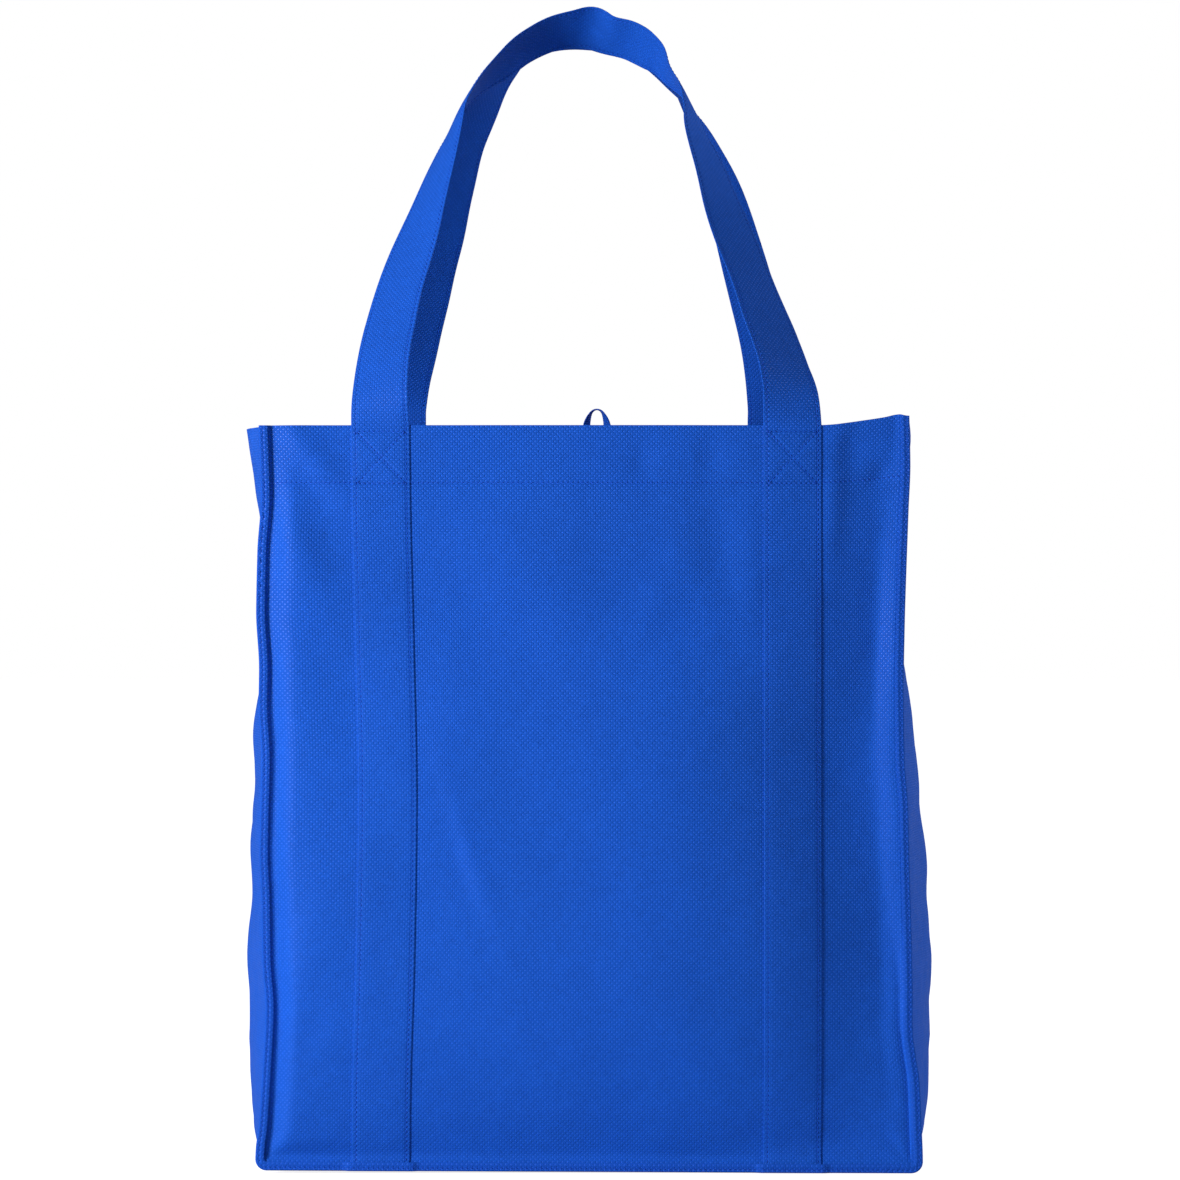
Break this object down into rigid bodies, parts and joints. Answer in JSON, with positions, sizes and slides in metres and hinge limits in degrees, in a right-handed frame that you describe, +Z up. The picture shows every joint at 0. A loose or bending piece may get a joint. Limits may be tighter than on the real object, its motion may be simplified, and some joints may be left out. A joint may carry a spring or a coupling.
{
  "type": "non-woven tote bag",
  "caption": "Open upright shopping tote of sewn non-woven fabric with taped seams, sewn-on strap handles, a hang loop and a stiff bottom board.",
  "frame": {"origin": "middle of the bag's footprint, on the ground", "axes": "+Z up, +X to the right across the front panel, +Y from the front panel to the back panel"},
  "size_m": [0.3574, 0.2844, 0.6022],
  "materials": {
    "body_fabric": "royal blue spunbond non-woven with an embossed lattice of small points, soft sheen",
    "tape_fabric": "the same royal blue non-woven, folded round the raw edges",
    "strap_fabric": "the same royal blue non-woven, folded and pressed into a strap",
    "board": "plain grey board"
  },
  "bodies": {
    "root": {"front_panel": "body_fabric", "back_panel": "body_fabric", "gusset": "body_fabric", "front_edge_tape": "tape_fabric", "back_edge_tape": "tape_fabric", "front_handle": "strap_fabric", "back_handle": "strap_fabric", "hang_loop": "tape_fabric", "bottom_board": "board"}
  },
  "joints": []
}
